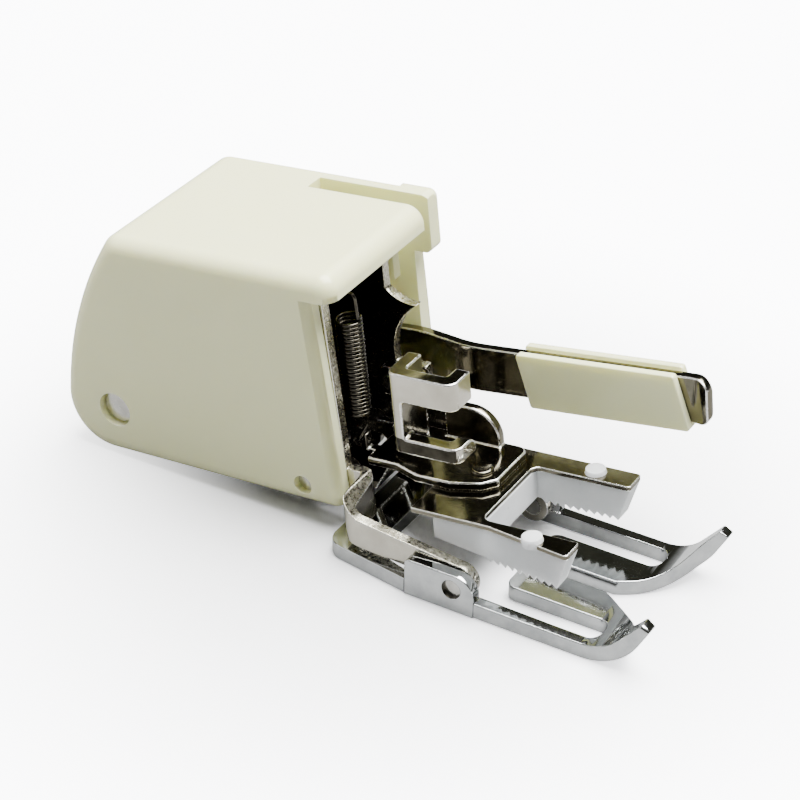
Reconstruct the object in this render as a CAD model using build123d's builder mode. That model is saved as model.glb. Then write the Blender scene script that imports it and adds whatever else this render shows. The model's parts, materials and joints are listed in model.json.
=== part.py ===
"""Low-shank walking foot for a sewing machine, in millimetres.

The sole stands flat on Z = 0 with its toes towards +X, and the origin is on the
underside of the heel bar. The housing group hinges on the sole and leans back until
the cover's rear edge meets the same surface, so its pieces are drawn on planes that
lean with it: there x runs forward and z up, both from the sole's hinge axis.
"""

import os
from math import acos, atan2, cos, degrees, hypot, radians, sin, tan

from build123d import *

# Fits
running_gap = 0.05
press_gap = 0.01
side_gap = 0.2
axial_gap = 0.1

# Sole: a plate with two feed slots, turned-up toes and an ear on each rail
sole_thickness = 1.8
heel_bar = 5.0
heel_half_width = 8.6
heel_corner = 2.2
rail_outer = 10.25
rail_width = 1.35
slot_width = 3.4
slot_past_toe = 1.3
finger_rear = 17.8
finger_corner = 1.2
slot_round = 1.3
needle_half_gap = 1.0
notch_start = 27.5
notch_middle_x = 31.5
notch_middle_y = 4.1
toe_neck_x = 34.1
toe_neck_width = 2.0
toe_neck_round = 1.5
toe_start = 29.1
toe_radius = 7.2
toe_angle = 62.0
toe_run = 2.7
toe_tip_width = 1.1
toe_tip_thickness = 1.1
toe_tip_round = 0.4
hinge_x = 14.0
hinge_z = 2.7
ear_rear = 8.3
ear_front = 16.7
ear_top = 4.55
ear_outer = 10.4
ear_thickness = 1.4
ear_front_corner = 2.2
ear_rear_corner = 0.6
hinge_pin_radius = 1.05
pin_recess = 0.5

# Cover: its inside faces hold the frame
cover_near = -5.0
cover_far = 19.0
cover_wall = 2.0
cover_top = 30.6
cover_bottom = 1.95
cover_front_foot = -16.5
cover_front_top = -18.2
cover_heel_x = -47.6
cover_heel_z = 8.7
cover_heel_round = 6.0
cover_heel_sweep = 100.0
cover_rear_top = -44.2
cover_crown_round = 2.5
cover_front_round = 1.4
cover_edge = 1.9
cover_far_edge = 1.0
visor_front = -15.1
visor_depth = 2.8
visor_round = 2.0
far_wall_front = -18.3
far_lobe_front = -16.0
far_lobe_depth = 7.1
far_lobe_round = 0.9
groove_rear = -30.0
groove_floor = 4.4
window_rear = -25.0
window_top = 21.6
partition_front = -18.8
partition_tip = 1.2
bottom_opening_rear = -45.0
hub_hole_gap = 0.6

# Frame: folded plate, an upside-down channel with a sole arm on each side
plate = 1.3
frame_seat = 0.1
frame_front_foot = -16.6
frame_front_top = -17.6
frame_shoulder_drop = 1.9
frame_foot = 4.7
frame_rear = -50.0
frame_rear_top = -44.6
frame_web_front = -25.0
frame_web_rear = -41.0
frame_bend = 1.8
arm_nose = 2.0
joggle_rear = -14.3
joggle_front = -13.6
joggle_bend = 1.0
strap_rear = -19.5
strap_top = 6.6
strap_bottom = 1.75
arm_heel_x = -12.2
arm_heel_top = 4.6
arm_heel_bottom = 1.15
arm_drop_x = -5.6
arm_drop_z = 0.2
spur_root_z = 21.6
spur_tip_x = -14.9
spur_tip_z = 20.1
spur_root_x = -18.8
spur_high_x = -17.2
spur_high_z = 20.5
spur_low_x = -17.4
spur_low_z = 17.4
spur_neck_x = -18.2
tongue_front = -14.3

# Attachment head: slotted shank for the clamp screw
head_plate = 1.7
head_near = -3.6
head_front = -1.9
head_rear = -10.2
head_top = 20.4
head_bottom = 10.8
head_return_end = 0.1
head_wall_end = 1.4
head_bend = 1.2
head_inner_bend = 0.4
head_return_round = 1.2
screw_slot_half = 2.25
screw_slot_z = 14.85
screw_slot_round = 0.4
tail_bend = 1.6
tail_y = 2.4
tail_x = -13.5
tail_end = -19.2
tail_top = 12.6
tail_bottom = 9.0
head_rivet_radius = 0.6
head_rivet_cap = 1.0
rivet_cap_height = 0.4
rivet_cap_taper = 22.0
head_rivets_x = (-18.2, -16.0)

# Lever on the rear shaft, in the cover's groove
shaft_x = -46.4
shaft_z = 8.6
shaft_radius = 1.5
shaft_head_radius = 1.9
shaft_head_recess = 0.9
shaft_hole_gap = 0.2
hub_radius = 2.6
clip_thickness = 0.5
clip_width = 1.0
lever_plate = 1.2
lever_side_gap = 0.7
lever_height = 5.5
lever_pitch_deg = 3.8
lever_mid_x = -17.5
lever_mid_z = 11.8
lever_jog = 2.1
lever_jog_end = -10.0
lever_jog_bend = 14.0
lever_tip_x = 19.4
lever_tip_bend = 17.7
lever_tip_set = 0.7
lever_tip_turn = 3.0
lever_tip_round = 1.6
lever_root_radius = 3.6
crank_plate = 1.5
crank_far = 10.8
crank_reach = 7.66
crank_start_deg = -15.0
crank_pin_radius = 0.9
crank_eye = 2.0
roller_radius = 1.6
roller_gap = 0.06

# Ivory sleeve round the lever's front
sleeve_rear_top = -3.5
sleeve_rear_bottom = -1.9
sleeve_front_top = 15.5
sleeve_front_bottom = 17.3
sleeve_thickness = 3.2
sleeve_floor = 0.6
sleeve_rise = 0.4
sleeve_gap = 0.05
sleeve_round = 0.4

# Lift rocker on the front pin, swung by the crank
pivot_x = -21.4
pivot_z = 4.6
pivot_radius = 1.1
pivot_recess = 0.9
rocker_plate = 1.0
rocker_near = -0.9
rocker_far = 8.7
rocker_eye = 2.3
rocker_web_bottom = 9.6
rocker_web_rear = -37.0
rocker_web_ahead = 3.0
rocker_tail_wall = 1.5
guide_x = -33.0
guide_z = 6.4
guide_radius = 1.0
guide_eye = 2.2
feed_travel = 3.0

# Feed foot: carrier, plate and nylon pads
carrier_plate = 1.2
carrier_near = 0.4
carrier_far = 7.4
carrier_rear = -35.5
carrier_top = 7.5
carrier_bottom = 2.3
carrier_web = 1.0
carrier_web_rear = -24.5
carrier_web_front = -15.5
carrier_rise_x = -13.0
flange_bottom = 6.5
flange_front = 0.3
flange_near = -2.2
flange_rear = -15.2
flange_waist_near = -1.1
flange_waist_x = -11.5
flange_flare_x = -8.5
flange_corner = 1.2
upright_front = -2.7
upright_rear = -9.4
upright_top = 11.7
upright_round = 3.4
hook_lug_top = 9.2
hook_lug_half = 1.1
hook_hole = 0.55
hook_hole_z = 8.3
feed_plate_thickness = 0.6
feed_front = 13.1
feed_throat = 1.7
feed_rear = -6.4
feed_inner = 5.75
feed_root_outer = 6.8
feed_tip_outer = 8.65
feed_taper_start = 3.0
feed_shoulder_x = -4.2
feed_shoulder = 1.0
fork_round = 1.0
fork_tip_round = 0.4
carrier_rivet_x = -2.2
carrier_rivet_y = 1.4
carrier_rivet_radius = 0.9
carrier_rivet_cap = 1.35
pad_inset = 0.1
pad_bottom = 1.9
pad_lean = 1.5
pad_rear = -3.8
pad_rear_bottom = 3.4
tooth_pitch = 0.95
tooth_depth = 0.55
tooth_rake = 0.75
tooth_count = 10
peg_x = 8.4
peg_y = 7.2
peg_radius = 1.1
peg_rise = 0.5

# Springs
spring_wire = 0.4
lift_coil_radius = 1.22
lift_spring_x = -17.15
lift_coil_bottom = 11.8
lift_coil_turns = 8
lift_coil_pitch = 1.44
hook_bend = 0.6
post_x = -21.5
post_drop = 1.4
post_radius = 0.8
torsion_radius = 2.2
torsion_turns = 3
torsion_pitch = 1.2
torsion_near = 3.2
feed_coil_radius = 1.3
feed_coil_turns = 3
feed_coil_z = 6.2
feed_lug_y = 3.9
lug_half = 1.1
lug_plate = 0.9

# The housing group leans back until the cover's round heel rests level with the sole
lean = atan2(cover_heel_x, cover_heel_z) + acos(
    (cover_heel_round - hinge_z) / hypot(cover_heel_x, cover_heel_z)
)
forward = (cos(lean), 0, sin(lean))
upward = (-sin(lean), 0, cos(lean))
hinge = Vector(hinge_x, 0, hinge_z)
clear_past = 40.0


def side_at(y):
    """Plane across the foot at y: local x forward, local y up, extruding to -Y."""
    return Plane(hinge + Vector(0, y, 0), x_dir=forward, z_dir=(0, -1, 0))


def plan_at(z):
    """Plane at height z over the hinge: local x forward, local y to +Y."""
    return Plane(hinge + Vector(upward) * z, x_dir=forward, z_dir=upward)


def front_at(x):
    """Plane facing forward at x: local x to +Y, local y up."""
    return Plane(hinge + Vector(forward) * x, x_dir=(0, 1, 0), z_dir=forward)


def band(x0, x1, z0, z1):
    """Filled rectangle between two x and two z of the open sketch."""
    return Polygon((x0, z0), (x1, z0), (x1, z1), (x0, z1), align=None)


def disc(x, z, radius, mode=Mode.ADD):
    """Filled circle of the open sketch."""
    with Locations((x, z)):
        return Circle(radius, mode=mode)


def nearest(sketch, x, z):
    """The vertex of an open sketch that lies nearest to a point."""
    return sketch.vertices().sort_by_distance((x, z, 0))[0]


def write(builder, name):
    """Labels a finished piece and writes its STEP file."""
    builder.part.label = name
    export_step(builder.part, f"parts/{name}.step")


os.makedirs("parts", exist_ok=True)

# Sole plate: plan outline cut by the side profile, so that the toes turn up and thin out
toe_along = Vector(cos(radians(toe_angle)), sin(radians(toe_angle)))
toe_out = Vector(-sin(radians(toe_angle)), cos(radians(toe_angle)))
toe_centre = Vector(toe_start, toe_radius)
toe_tip = toe_centre - toe_out * toe_radius + toe_along * toe_run
toe_tip_top = toe_tip + toe_out * toe_tip_thickness
toe_past = toe_tip.X + sole_thickness
tip_sight = toe_tip_top - toe_centre
inner_radius = toe_radius - sole_thickness
inner_angle = 90 + degrees(
    atan2(tip_sight.Y, tip_sight.X) - acos(inner_radius / tip_sight.length)
)
rail_inner = rail_outer - rail_width
slot_inner = rail_inner - slot_width
slot_front = toe_start + slot_past_toe
with BuildPart() as sole_plate:
    with BuildSketch(Plane.XY) as sole_plan:
        with BuildLine():
            outside = Polyline(
                (heel_bar / 2, 0),
                (-heel_bar / 2, 0),
                (-heel_bar / 2, heel_half_width),
                (ear_rear, rail_outer),
                (toe_past, rail_outer),
                (toe_past, rail_outer - toe_tip_width),
                (toe_neck_x, rail_outer - toe_neck_width),
            )
            notch = ThreePointArc(
                outside @ 1, (notch_middle_x, notch_middle_y), (notch_start, needle_half_gap)
            )
            Polyline(
                notch @ 1,
                (finger_rear, needle_half_gap),
                (finger_rear, slot_inner),
                (slot_front, slot_inner),
                (slot_front, rail_inner),
                (ear_rear, rail_inner),
                (heel_bar / 2, heel_half_width - rail_width),
                outside @ 0,
            )
        make_face()
        mirror(about=Plane.XZ)
        for side in (-1, 1):
            fillet(nearest(sole_plan, slot_front, side * slot_inner), slot_round)
            fillet(nearest(sole_plan, slot_front, side * rail_inner), slot_round)
            fillet(nearest(sole_plan, finger_rear, side * slot_inner), finger_corner)
            fillet(nearest(sole_plan, finger_rear, side * needle_half_gap), finger_corner)
            fillet(nearest(sole_plan, -heel_bar / 2, side * heel_half_width), heel_corner)
            toe_neck = nearest(sole_plan, toe_neck_x, side * (rail_outer - toe_neck_width))
            fillet(toe_neck, toe_neck_round)
    extrude(amount=2 * toe_radius)
    with BuildSketch(Plane.XZ.offset(-ear_outer)):
        with BuildLine():
            under = Line((-heel_bar, 0), (toe_start, 0))
            curl = CenterArc(toe_centre, toe_radius, -90, toe_angle)
            Polyline(curl @ 1, toe_tip, toe_tip_top)
            inner_curl = CenterArc(toe_centre, inner_radius, inner_angle - 90, -inner_angle)
            Line(toe_tip_top, inner_curl @ 0)
            over = Line(inner_curl @ 1, (-heel_bar, sole_thickness))
            Line(over @ 1, under @ 0)
        make_face()
    extrude(amount=2 * ear_outer, mode=Mode.INTERSECT)
    toe_ends = sole_plate.edges().filter_by(Axis((0, 0, 0), (toe_out.X, 0, toe_out.Y)))
    fillet(toe_ends, toe_tip_round)
    for far_face in (ear_outer, ear_thickness - ear_outer):
        with BuildSketch(Plane.XZ.offset(-far_face)) as ear:
            band(ear_rear, ear_front, 0, ear_top)
            fillet(nearest(ear, ear_front, ear_top), ear_front_corner)
            fillet(nearest(ear, ear_rear, ear_top), ear_rear_corner)
        extrude(amount=ear_thickness)
    with BuildSketch(Plane.XZ.offset(-ear_outer)):
        disc(hinge_x, hinge_z, hinge_pin_radius + running_gap)
    extrude(amount=2 * ear_outer, mode=Mode.SUBTRACT)
write(sole_plate, "sole_plate")

# Hinge pins, riveted in the frame's arms and running in the ears
arm_outer = ear_outer - ear_thickness - side_gap
arm_inner = arm_outer - plate
with BuildPart() as sole_pins:
    for far_end in (ear_outer - pin_recess, -arm_inner):
        with BuildSketch(side_at(far_end)):
            disc(0, 0, hinge_pin_radius)
        extrude(amount=ear_outer - pin_recess - arm_inner)
write(sole_pins, "sole_pins")

# Cover: one moulded shell, with the lever's groove along its far side
groove_far = cover_far - cover_wall
groove_width = lever_plate + 2 * lever_side_gap
groove_near = groove_far - groove_width
lever_near = groove_near + lever_side_gap
cavity_near = cover_near + cover_wall
cavity_far = groove_near - cover_wall
visor_bottom = cover_top - visor_depth
with BuildPart() as cover:
    with BuildSketch(side_at(cover_far)) as cover_side:
        with BuildLine():
            heel = CenterArc((cover_heel_x, cover_heel_z), cover_heel_round, -90, -cover_heel_sweep)
            foot = Line((cover_front_foot, cover_bottom), heel @ 0)
            back = TangentArc(heel @ 1, (cover_rear_top, cover_top), tangent=heel % 1)
            crown = Line(back @ 1, (cover_front_top, cover_top))
            Line(crown @ 1, foot @ 0)
        make_face()
        fillet(nearest(cover_side, cover_rear_top, cover_top), cover_crown_round)
    extrude(amount=cover_far - cover_near)
    # The visor over the front opening
    with BuildSketch(side_at(cover_far)) as visor:
        band(cover_front_top - cover_wall, visor_front, visor_bottom, cover_top)
        fillet(nearest(visor, visor_front, cover_top), visor_round)
    extrude(amount=cover_far - cover_near)
    # Outside edges are round, apart from the front wall's and the visor's underside
    near_edges = cover.faces().sort_by(Axis.Y)[0].edges().sort_by(Axis(hinge, forward))
    fillet(near_edges[:-4] + near_edges[-2:], cover_edge)
    far_edges = cover.faces().sort_by(Axis.Y)[-1].edges().sort_by(Axis(hinge, forward))
    fillet(far_edges[:-4], cover_far_edge)
    front_foot = cover.edges().filter_by(Axis.Y).sort_by(Axis(hinge, upward))[0]
    fillet(front_foot, cover_front_round)
    # The main space, open to the front and below
    with BuildSketch(side_at(cavity_far)):
        offset(cover_side.sketch_local, amount=-cover_wall)
        band(bottom_opening_rear, 0, -cover_wall, cover_bottom + 2 * cover_wall)
        band(window_rear, 0, -cover_wall, visor_bottom)
    extrude(amount=cavity_far - cavity_near, mode=Mode.SUBTRACT)
    # The lever's groove, open to the front and, ahead of its rear end, to the top
    with BuildSketch(side_at(groove_far)):
        offset(cover_side.sketch_local, amount=-cover_wall)
        band(window_rear, 0, groove_floor, cover_top)
        band(groove_rear, 0, groove_floor, clear_past)
    extrude(amount=groove_width, mode=Mode.SUBTRACT)
    # The wall between them, cut away at the front and round the lever's hub
    with BuildSketch(side_at(groove_near)):
        band(window_rear, 0, -cover_wall, window_top)
        band(partition_front, 0, -cover_wall, visor_bottom)
        disc(shaft_x, shaft_z, hub_radius + hub_hole_gap)
    extrude(amount=cover_wall, mode=Mode.SUBTRACT)
    with BuildSketch(side_at(groove_near - partition_tip)):
        band(window_rear, 0, -cover_wall, visor_bottom)
    extrude(amount=cover_wall - partition_tip, mode=Mode.SUBTRACT)
    # The outer wall stops short below a forward lobe
    with BuildSketch(side_at(cover_far)):
        band(far_wall_front, 0, -cover_wall, cover_top - far_lobe_depth)
        band(far_lobe_front, 0, -cover_wall, clear_past)
    extrude(amount=cover_wall, mode=Mode.SUBTRACT)
    with BuildSketch(side_at(cover_far)) as lobe:
        band(far_wall_front - cover_wall, far_lobe_front, cover_top - far_lobe_depth, cover_top)
        fillet(nearest(lobe, far_lobe_front, cover_top), far_lobe_round)
        fillet(nearest(lobe, far_lobe_front, cover_top - far_lobe_depth), far_lobe_round)
    extrude(amount=cover_wall)
    # Holes in the near wall over the shaft's head and the pivot pin
    with BuildSketch(side_at(cavity_near)):
        disc(shaft_x, shaft_z, shaft_head_radius + shaft_hole_gap)
        disc(pivot_x, pivot_z, pivot_radius + running_gap)
    extrude(amount=cover_wall, mode=Mode.SUBTRACT)
write(cover, "cover")

# Sole arms of the frame: straps that step sideways and run forward to the hinge
near_outer = cavity_near + frame_seat
near_inner = near_outer + plate
far_outer = cavity_far - frame_seat
far_inner = far_outer - plate
with BuildPart() as sole_arms:
    for root_y, arm_y in (
        ((near_outer + near_inner) / 2, -(arm_outer + arm_inner) / 2),
        ((far_outer + far_inner) / 2, (arm_outer + arm_inner) / 2),
    ):
        with BuildSketch(plan_at(-arm_nose)):
            with BuildLine() as strap:
                FilletPolyline(
                    (strap_rear, root_y),
                    (joggle_rear, root_y),
                    (joggle_front, arm_y),
                    (arm_nose, arm_y),
                    radius=joggle_bend,
                )
            trace(strap.line, line_width=plate)
        extrude(amount=arm_nose + strap_top)
    with BuildSketch(side_at(far_outer)):
        Polygon(
            (strap_rear, strap_bottom),
            (joggle_rear, strap_bottom),
            (arm_heel_x, arm_heel_bottom),
            (arm_drop_x, arm_drop_z),
            (0, -arm_nose),
            (0, arm_nose),
            (arm_heel_x, arm_heel_top),
            (joggle_rear, strap_top),
            (strap_rear, strap_top),
            align=None,
        )
        disc(0, 0, arm_nose)
    extrude(amount=far_outer + arm_outer, mode=Mode.INTERSECT)
    with BuildSketch(side_at(arm_outer)):
        disc(0, 0, hinge_pin_radius + press_gap)
    extrude(amount=2 * arm_outer, mode=Mode.SUBTRACT)

# Main frame: near and far plates under one folded web
web_top = cover_top - cover_wall - frame_seat
frame_shoulder = web_top - frame_shoulder_drop
post_z = frame_shoulder - post_drop
with BuildPart() as main_frame:
    with BuildSketch(side_at(near_inner)):
        Polygon(
            (frame_front_foot, strap_bottom),
            (frame_front_top, frame_shoulder),
            (frame_rear_top, frame_shoulder),
            (frame_rear, shaft_z + hub_radius),
            (frame_rear, shaft_z),
            (frame_rear + hub_radius, frame_foot),
            (guide_x, frame_foot),
            (strap_rear, strap_bottom),
            align=None,
        )
        disc(shaft_x, shaft_z, shaft_radius + press_gap, Mode.SUBTRACT)
        disc(pivot_x, pivot_z, pivot_radius + press_gap, Mode.SUBTRACT)
        disc(post_x, post_z, post_radius + press_gap, Mode.SUBTRACT)
    extrude(amount=plate)
    with BuildSketch(side_at(far_outer)):
        with BuildLine():
            edge = Polyline(
                (tongue_front, tail_bottom),
                (tongue_front, tail_top),
                (spur_neck_x, tail_top),
            )
            lower = ThreePointArc(edge @ 1, (spur_low_x, spur_low_z), (spur_tip_x, spur_tip_z))
            upper = ThreePointArc(lower @ 1, (spur_high_x, spur_high_z), (spur_root_x, spur_root_z))
            Polyline(
                upper @ 1,
                (spur_root_x, frame_shoulder),
                (frame_rear_top, frame_shoulder),
                (frame_rear, shaft_z + hub_radius),
                (frame_rear, shaft_z),
                (frame_rear + hub_radius, frame_foot),
                (guide_x, frame_foot),
                (strap_rear, strap_bottom),
                (frame_front_foot, strap_bottom),
                (frame_front_foot, tail_bottom),
                edge @ 0,
            )
        make_face()
        disc(shaft_x, shaft_z, hub_radius + running_gap, Mode.SUBTRACT)
        disc(pivot_x, pivot_z, pivot_radius + press_gap, Mode.SUBTRACT)
        disc(post_x, post_z, post_radius + press_gap, Mode.SUBTRACT)
        for rivet_x in head_rivets_x:
            disc(rivet_x, (tail_top + tail_bottom) / 2, head_rivet_radius + press_gap, Mode.SUBTRACT)
    extrude(amount=plate)
    with BuildSketch(front_at(frame_web_rear)) as web:
        band(near_outer, far_outer, frame_shoulder - frame_bend, web_top)
        fillet(nearest(web, near_outer, web_top), frame_bend)
        fillet(nearest(web, far_outer, web_top), frame_bend)
        Polygon(
            (near_inner, frame_shoulder - frame_bend),
            (far_inner, frame_shoulder - frame_bend),
            (far_inner, web_top - plate),
            (near_inner, web_top - plate),
            align=None,
            mode=Mode.SUBTRACT,
        )
    extrude(amount=frame_web_front - frame_web_rear)
    add(sole_arms.part)
write(main_frame, "main_frame")

# Attachment head: folded shank with the clamp screw's slot and a tail to the far plate
head_y = head_near + head_plate / 2
with BuildPart() as attachment_head:
    with BuildSketch(plan_at(head_bottom)) as shank:
        Polygon(
            (head_rear, head_wall_end),
            (head_rear, head_near),
            (head_front, head_near),
            (head_front, head_return_end),
            (head_front - head_plate, head_return_end),
            (head_front - head_plate, head_near + head_plate),
            (head_rear + head_plate, head_near + head_plate),
            (head_rear + head_plate, head_wall_end),
            align=None,
        )
        for outer_x, inner_x in (
            (head_rear, head_rear + head_plate),
            (head_front, head_front - head_plate),
        ):
            fillet(nearest(shank, outer_x, head_near), head_bend)
            fillet(nearest(shank, inner_x, head_near + head_plate), head_inner_bend)
    extrude(amount=head_top - head_bottom)
    slot_floor = screw_slot_z - screw_slot_half
    slot_roof = screw_slot_z + screw_slot_half
    with BuildSketch(side_at(head_return_end)) as screw_slot:
        band(head_rear + head_plate, clear_past, slot_floor, slot_roof)
        fillet(nearest(screw_slot, head_rear + head_plate, slot_floor), screw_slot_round)
        fillet(nearest(screw_slot, head_rear + head_plate, slot_roof), screw_slot_round)
    extrude(amount=head_return_end - head_near, mode=Mode.SUBTRACT)
    # The folded-back ends are round, apart from the lower one's upper corner
    return_ends = (
        attachment_head.edges()
        .filter_by(Axis(hinge, forward))
        .filter_by_position(Axis.Y, head_return_end, head_return_end)
        .sort_by(Axis(hinge, upward))
    )
    fillet(return_ends[:1] + return_ends[2:], head_return_round)
    with BuildSketch(plan_at(tail_bottom)):
        with BuildLine() as tail:
            FilletPolyline(
                (head_rear + head_plate / 2, head_y + head_plate),
                (head_rear + head_plate / 2, tail_y),
                (tail_x, tail_y),
                (tail_x, far_inner - head_plate / 2),
                (tail_end, far_inner - head_plate / 2),
                radius=tail_bend,
            )
        trace(tail.line, line_width=head_plate)
    extrude(amount=tail_top - tail_bottom)
    with BuildSketch(side_at(far_inner)):
        for rivet_x in head_rivets_x:
            disc(rivet_x, (tail_top + tail_bottom) / 2, head_rivet_radius + press_gap)
    extrude(amount=head_plate, mode=Mode.SUBTRACT)
write(attachment_head, "attachment_head")

# Rivets through the head's tail and the far plate, flush outside and capped inside
with BuildPart() as head_rivets:
    for rivet_x in head_rivets_x:
        rivet_z = (tail_top + tail_bottom) / 2
        with BuildSketch(side_at(far_outer)):
            disc(rivet_x, rivet_z, head_rivet_radius)
        extrude(amount=plate + head_plate)
        with BuildSketch(side_at(far_inner - head_plate)):
            disc(rivet_x, rivet_z, head_rivet_cap)
        extrude(amount=rivet_cap_height, taper=rivet_cap_taper)
write(head_rivets, "head_rivets")

# Rear shaft: headed in the cover's hole, through both plates to the lever's clip
lever_far = lever_near + lever_plate
with BuildPart() as lever_shaft:
    with BuildSketch(side_at(lever_far + axial_gap + clip_thickness)):
        disc(shaft_x, shaft_z, shaft_radius)
    extrude(amount=lever_far + axial_gap + clip_thickness - near_outer)
    with BuildSketch(side_at(near_outer)):
        disc(shaft_x, shaft_z, shaft_head_radius)
    extrude(amount=near_outer - cover_near - shaft_head_recess)
write(lever_shaft, "lever_shaft")

with BuildPart() as shaft_clip:
    with BuildSketch(side_at(lever_far + axial_gap + clip_thickness)):
        disc(shaft_x, shaft_z, shaft_radius + clip_width)
        disc(shaft_x, shaft_z, shaft_radius + press_gap, Mode.SUBTRACT)
        with Locations((shaft_x - shaft_radius, shaft_z)):
            Rectangle(2 * clip_width, clip_width, mode=Mode.SUBTRACT)
    extrude(amount=clip_thickness)
write(shaft_clip, "shaft_clip")

# Pivot pin of the rocker, seen in the cover's front hole
with BuildPart() as pivot_pin:
    with BuildSketch(side_at(far_outer)):
        disc(pivot_x, pivot_z, pivot_radius)
    extrude(amount=far_outer - cover_near - pivot_recess)
write(pivot_pin, "pivot_pin")

# Cross bar for the upper spring hook
with BuildPart() as spring_bar:
    with BuildSketch(side_at(far_outer)):
        disc(post_x, post_z, post_radius)
    extrude(amount=far_outer - near_outer)
write(spring_bar, "spring_bar")

# Lever: a strip that steps inwards ahead of the cover, on a round root
lever_slope = tan(radians(lever_pitch_deg))
lever_half = lever_height / 2 / cos(radians(lever_pitch_deg))
lever_front_y = lever_near + lever_plate / 2 - lever_jog


def lever_z(x, lift=0.0):
    """Height of the lever's middle line at x, plus a lift."""
    return lever_mid_z + (x - lever_mid_x) * lever_slope + lift


with BuildPart() as lever_arm:
    with BuildSketch(plan_at(0)):
        with BuildLine() as lever_path:
            step_in = FilletPolyline(
                (shaft_x - lever_root_radius, lever_near + lever_plate / 2),
                (lever_mid_x, lever_near + lever_plate / 2),
                (lever_jog_end, lever_front_y),
                (sleeve_front_top, lever_front_y),
                radius=lever_jog_bend,
            )
            FilletPolyline(
                step_in @ 1,
                (lever_tip_bend, lever_front_y),
                (lever_tip_x, lever_front_y - lever_tip_set),
                radius=lever_tip_turn,
            )
        trace(lever_path.line, line_width=lever_plate)
    extrude(amount=clear_past)
    with BuildSketch(side_at(lever_far)) as lever_side:
        Polygon(
            (shaft_x, lever_z(shaft_x, -lever_half)),
            (lever_tip_x, lever_z(lever_tip_x, -lever_half)),
            (lever_tip_x, lever_z(lever_tip_x, lever_half)),
            (shaft_x, lever_z(shaft_x, lever_half)),
            align=None,
        )
        disc(shaft_x, shaft_z, lever_root_radius)
        for lift in (-lever_half, lever_half):
            fillet(nearest(lever_side, lever_tip_x, lever_z(lever_tip_x, lift)), lever_tip_round)
        disc(shaft_x, shaft_z, shaft_radius + running_gap, Mode.SUBTRACT)
    extrude(amount=lever_far - lever_front_y + 2 * lever_plate, mode=Mode.INTERSECT)
write(lever_arm, "lever_arm")

# Sleeve: a channel round the lever, closed below and open above
with BuildPart() as lever_sleeve:
    with BuildSketch(side_at(lever_front_y + sleeve_thickness / 2)):
        Polygon(
            (sleeve_rear_bottom, lever_z(sleeve_rear_bottom, -lever_half - sleeve_floor)),
            (sleeve_front_bottom, lever_z(sleeve_front_bottom, -lever_half - sleeve_floor)),
            (sleeve_front_top, lever_z(sleeve_front_top, lever_half + sleeve_rise)),
            (sleeve_rear_top, lever_z(sleeve_rear_top, lever_half + sleeve_rise)),
            align=None,
        )
    extrude(amount=sleeve_thickness)
    fillet(lever_sleeve.edges().filter_by(Axis.Y), sleeve_round)
    with BuildSketch(side_at(lever_front_y + lever_plate / 2 + sleeve_gap)):
        Polygon(
            (-clear_past, lever_z(-clear_past, -lever_half)),
            (clear_past, lever_z(clear_past, -lever_half)),
            (clear_past, clear_past),
            (-clear_past, clear_past),
            align=None,
        )
    extrude(amount=lever_plate + 2 * sleeve_gap, mode=Mode.SUBTRACT)
write(lever_sleeve, "lever_sleeve")

# Hub: turns on the shaft and in the far plate, with the crank inside the frame
crank_x = shaft_x + crank_reach * cos(radians(crank_start_deg))
crank_z = shaft_z + crank_reach * sin(radians(crank_start_deg))
with BuildPart() as lever_hub:
    with BuildSketch(side_at(lever_near)):
        disc(shaft_x, shaft_z, hub_radius)
        disc(shaft_x, shaft_z, shaft_radius + running_gap, Mode.SUBTRACT)
    extrude(amount=lever_near - crank_far)
    with BuildSketch(side_at(crank_far)):
        with BuildSketch(side_at(crank_far), mode=Mode.PRIVATE) as crank_eyes:
            disc(shaft_x, shaft_z, hub_radius)
            disc(crank_x, crank_z, crank_eye)
        make_hull(crank_eyes.sketch_local.edges())
        disc(shaft_x, shaft_z, shaft_radius + running_gap, Mode.SUBTRACT)
        disc(crank_x, crank_z, crank_pin_radius + press_gap, Mode.SUBTRACT)
    extrude(amount=crank_plate)
write(lever_hub, "lever_hub")

roller_near = rocker_far - rocker_plate
with BuildPart() as crank_pin:
    with BuildSketch(side_at(crank_far)):
        disc(crank_x, crank_z, crank_pin_radius)
    extrude(amount=crank_far - roller_near)
write(crank_pin, "crank_pin")

with BuildPart() as crank_roller:
    with BuildSketch(side_at(rocker_far)):
        disc(crank_x, crank_z, roller_radius)
        disc(crank_x, crank_z, crank_pin_radius + running_gap, Mode.SUBTRACT)
    extrude(amount=rocker_plate)
write(crank_roller, "crank_roller")

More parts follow.
